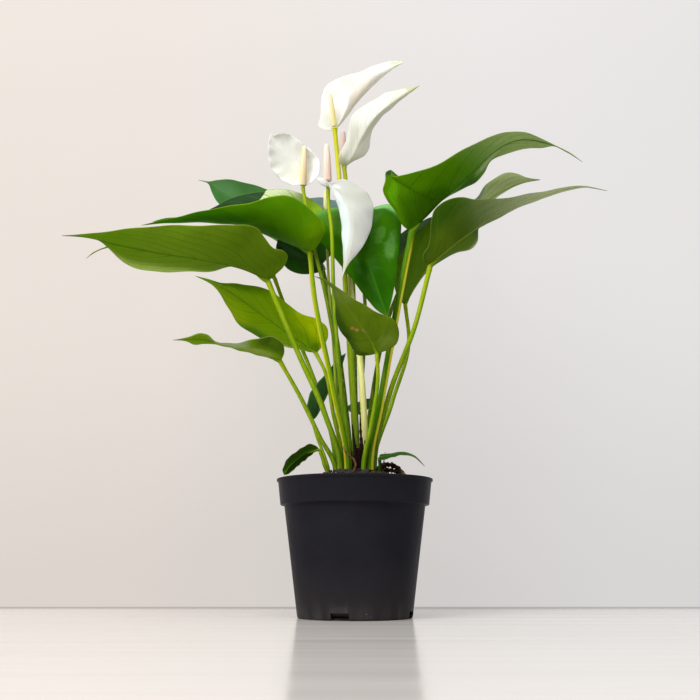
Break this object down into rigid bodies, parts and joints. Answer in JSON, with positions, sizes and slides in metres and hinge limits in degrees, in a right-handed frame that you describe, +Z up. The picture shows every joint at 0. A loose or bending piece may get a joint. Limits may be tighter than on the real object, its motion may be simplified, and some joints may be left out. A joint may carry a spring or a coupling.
{
  "type": "potted anthurium",
  "caption": "White-flowered anthurium with long green leaves on slender stalks, growing in soil in a round black tapered plastic pot with a rim band.",
  "frame": {"origin": "middle of the pot's flat foot, on the surface it stands on", "axes": "+Z up; -Y towards the side the picture shows; +X to that viewer's right"},
  "size_m": [0.4575, 0.2165, 0.4955],
  "materials": {
    "leaf_green": "satin waxy leaf",
    "leaf_yellow_green": "satin waxy leaf, light shows through it",
    "leaf_dark": "satin waxy leaf",
    "petiole": "smooth and slightly glossy",
    "peduncle": "smooth and slightly glossy",
    "spathe": "smooth, slightly waxy white",
    "spadix_cream": "matte, finely pebbled",
    "spadix_yellow": "matte, finely pebbled",
    "spadix_pink": "matte, finely pebbled",
    "pot": "satin black plastic with a little dust",
    "soil": "rough potting mix",
    "crown": "dry dark fibres",
    "dry_brown": "dry and papery"
  },
  "bodies": {
    "root": {"leaf_a": "leaf_yellow_green", "petiole_a": "petiole", "leaf_a2": "leaf_yellow_green", "petiole_a2": "petiole", "leaf_g": "leaf_yellow_green", "petiole_g": "petiole", "leaf_l3": "leaf_green", "petiole_l3": "petiole", "leaf_l1": "leaf_green", "petiole_l1": "petiole", "leaf_h": "leaf_green", "petiole_h": "petiole", "leaf_k": "leaf_green", "petiole_k": "petiole", "leaf_l": "leaf_green", "petiole_l": "petiole", "leaf_e": "leaf_green", "petiole_e": "petiole", "leaf_c2": "leaf_green", "petiole_c2": "petiole", "leaf_r1": "leaf_green", "petiole_r1": "petiole", "leaf_d": "leaf_dark", "petiole_d": "petiole", "leaf_f": "leaf_dark", "petiole_f": "petiole", "leaf_i": "leaf_dark", "petiole_i": "petiole", "leaf_j": "leaf_dark", "petiole_j": "petiole", "leaf_r3": "leaf_green", "petiole_r3": "petiole", "leaf_r5": "leaf_dark", "petiole_r5": "petiole", "leaf_r6": "leaf_dark", "petiole_r6": "petiole", "spathe_t1": "spathe", "peduncle_t1": "peduncle", "spadix_t1": "spadix_yellow", "spathe_t2": "spathe", "peduncle_t2": "peduncle", "spadix_t2": "spadix_pink", "spathe_b3": "spathe", "peduncle_b3": "peduncle", "spadix_b3": "spadix_cream", "spathe_b4": "spathe", "peduncle_b4": "peduncle", "spadix_b4": "spadix_cream", "bud_b5": "spadix_cream", "peduncle_b5": "peduncle", "pot": "pot", "soil": "soil", "crown": "crown", "dry_sheath": "dry_brown", "dry_root": "dry_brown", "dry_spike": "crown"}
  },
  "joints": []
}
